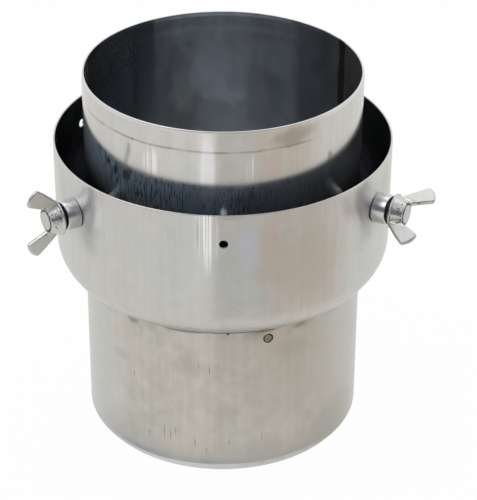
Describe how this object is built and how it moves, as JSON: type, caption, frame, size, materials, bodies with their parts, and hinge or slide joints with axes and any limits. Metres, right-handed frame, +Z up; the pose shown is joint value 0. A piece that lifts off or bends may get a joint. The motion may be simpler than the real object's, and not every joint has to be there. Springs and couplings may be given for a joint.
{
  "type": "flue liner adaptor",
  "caption": "Sheet-metal adaptor that joins a flexible flue liner to a stove pipe: spigot, wide collar, inner sleeve and clamping wing screws.",
  "frame": {"origin": "on the axis, level with the lower edge of the collar's shoulder, where the end of the stove pipe stops", "axes": "+Z up along the flue, from the spigot towards the inner sleeve; -Y towards the front, midway between two of the three screws"},
  "size_m": [0.2113, 0.2074, 0.206],
  "materials": {
    "spigot_steel": "rolled stainless sheet, brushed along the axis, warm handling tone",
    "collar_steel": "spun stainless sheet, fine brushed",
    "sleeve_steel": "rolled stainless sheet, brushed along the axis",
    "boss_steel": "turned and polished",
    "stud_steel": "zinc-plated, satin",
    "wing_metal": "cast and tumbled, bright"
  },
  "bodies": {
    "adaptor": {"spigot": "spigot_steel", "collar": "collar_steel", "inner_sleeve": "sleeve_steel", "boss_left": "boss_steel", "boss_right": "boss_steel", "boss_back": "boss_steel"},
    "stud_left": {"stud_left": "stud_steel"},
    "head_left": {"wing_left": "wing_metal"},
    "stud_right": {"stud_right": "stud_steel"},
    "head_right": {"wing_right": "wing_metal"},
    "stud_back": {"stud_back": "stud_steel"},
    "head_back": {"wing_back": "wing_metal"}
  },
  "joints": [
    {"name": "left_screw_travel", "type": "slide", "parent": "adaptor", "child": "stud_left", "axis": [-0.866, -0.5, 0], "range_m": [-0.00176, 0.0086]},
    {"name": "left_screw_turn", "type": "hinge", "parent": "stud_left", "child": "head_left", "pos_m": [-0.0866, -0.05, 0.0564], "axis": [-0.866, -0.5, 0], "range_deg": [-504, 2475]},
    {"name": "right_screw_travel", "type": "slide", "parent": "adaptor", "child": "stud_right", "axis": [0.866, -0.5, 0], "range_m": [-0.00176, 0.0086]},
    {"name": "right_screw_turn", "type": "hinge", "parent": "stud_right", "child": "head_right", "pos_m": [0.0866, -0.05, 0.0564], "axis": [0.866, -0.5, 0], "range_deg": [-504, 2475]},
    {"name": "back_screw_travel", "type": "slide", "parent": "adaptor", "child": "stud_back", "axis": [0, 1, 0], "range_m": [-0.00176, 0.0086]},
    {"name": "back_screw_turn", "type": "hinge", "parent": "stud_back", "child": "head_back", "pos_m": [0, 0.1, 0.0564], "axis": [0, 1, 0], "range_deg": [-504, 2475]}
  ],
  "couplings": [
    {"joint": "left_screw_travel", "follows": "left_screw_turn", "m_per_rad": 0.00019894},
    {"joint": "right_screw_travel", "follows": "right_screw_turn", "m_per_rad": 0.00019894},
    {"joint": "back_screw_travel", "follows": "back_screw_turn", "m_per_rad": 0.00019894}
  ]
}
